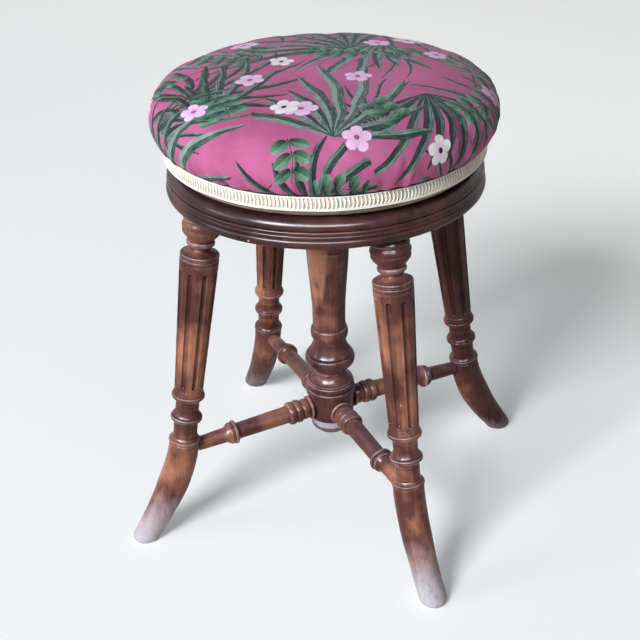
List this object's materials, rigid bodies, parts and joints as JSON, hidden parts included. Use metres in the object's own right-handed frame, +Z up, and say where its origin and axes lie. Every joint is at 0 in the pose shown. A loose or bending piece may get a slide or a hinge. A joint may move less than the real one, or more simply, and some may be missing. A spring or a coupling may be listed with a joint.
{
  "type": "revolving piano stool",
  "caption": "Round upholstered piano stool on turned, fluted legs with sabre feet; its seat turns and climbs on a hidden iron screw.",
  "frame": {"origin": "on the floor plane, centred below the seat", "axes": "+Z up along the screw; -Y is the front; the legs stand at 45 degrees to X and Y"},
  "size_m": [0.348, 0.348, 0.497],
  "materials": {
    "polished_wood": "worn French polish, satin",
    "bare_wood": "unpolished, dusty",
    "iron": "oiled, worn bright on the thread",
    "stuffing": "felted wadding",
    "cover_cloth": "printed furnishing cloth, matte",
    "braid": "woven cream braid"
  },
  "bodies": {
    "base": {"base_platform": "polished_wood", "pillar": "polished_wood", "leg_back_right": "polished_wood", "leg_back_left": "polished_wood", "leg_front_left": "polished_wood", "leg_front_right": "polished_wood", "rail_back_right": "polished_wood", "rail_back_left": "polished_wood", "rail_front_left": "polished_wood", "rail_front_right": "polished_wood", "nut_plate": "iron", "nut_plate_screw_1": "iron", "nut_plate_screw_2": "iron", "nut_plate_screw_3": "iron", "nut_plate_screw_4": "iron"},
    "washer": {"thrust_washer": "iron"},
    "seat": {"seat_board": "bare_wood", "stuffing_pad": "stuffing", "seat_cover": "cover_cloth", "braid_trim": "braid", "lift_screw": "iron", "seat_flange": "iron", "seat_flange_screw_1": "iron", "seat_flange_screw_2": "iron", "seat_flange_screw_3": "iron", "seat_flange_screw_4": "iron"}
  },
  "joints": [
    {"name": "seat_turn", "type": "hinge", "parent": "base", "child": "washer", "pos_m": [0, 0, 0.4065], "axis": [0, 0, 1], "range_deg": [0, 4500]},
    {"name": "seat_rise", "type": "slide", "parent": "washer", "child": "seat", "axis": [0, 0, 1], "range_m": [0, 0.1001]}
  ],
  "couplings": [
    {"joint": "seat_rise", "follows": "seat_turn", "m_per_rad": 0.0012732}
  ]
}
